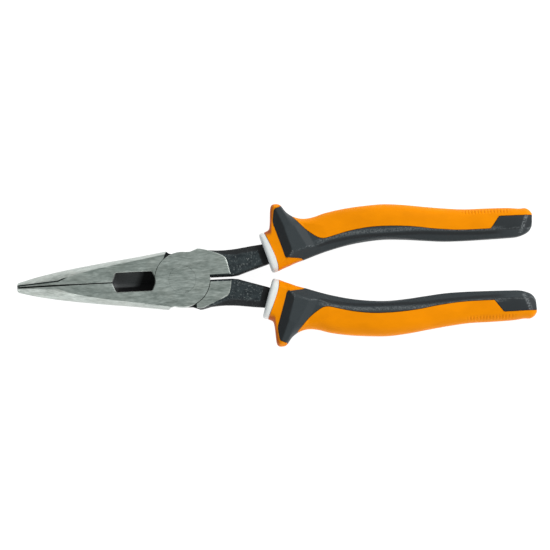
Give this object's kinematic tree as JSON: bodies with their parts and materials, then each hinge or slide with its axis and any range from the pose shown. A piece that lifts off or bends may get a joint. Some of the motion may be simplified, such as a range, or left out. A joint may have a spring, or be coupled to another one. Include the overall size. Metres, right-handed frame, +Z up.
{
  "type": "needle nose pliers",
  "caption": "Insulated needle nose pliers with side cutters, a riveted lap joint, white collars and two-colour grips with thumb guards, lying closed.",
  "frame": {"origin": "under the middle of the closed tool's box, on the surface that it lies on", "axes": "+X along the tool from the nose to the handles, +Y across it towards half A's handle, +Z up, along the pivot"},
  "size_m": [0.2188, 0.0604, 0.0184],
  "materials": {
    "tool_steel": "ground bright on the faces, black forging skin on the tangs and in the window",
    "rivet_steel": "ground flush with the joint faces",
    "white_insulation": "smooth moulded",
    "orange_grip": "satin moulded",
    "grey_overmould": "fine grained soft moulding"
  },
  "bodies": {
    "half_a": {"half_a_forging": "tool_steel", "half_a_inner_sleeve": "white_insulation", "half_a_grip": "orange_grip", "half_a_overmould": "grey_overmould", "pivot_rivet": "rivet_steel"},
    "half_b": {"half_b_forging": "tool_steel", "half_b_inner_sleeve": "white_insulation", "half_b_grip": "orange_grip", "half_b_overmould": "grey_overmould"}
  },
  "joints": [
    {"name": "pivot", "type": "hinge", "parent": "half_a", "child": "half_b", "pos_m": [-0.0393, 0, 0.0092], "axis": [0, 0, -1], "range_deg": [0, 45]}
  ]
}
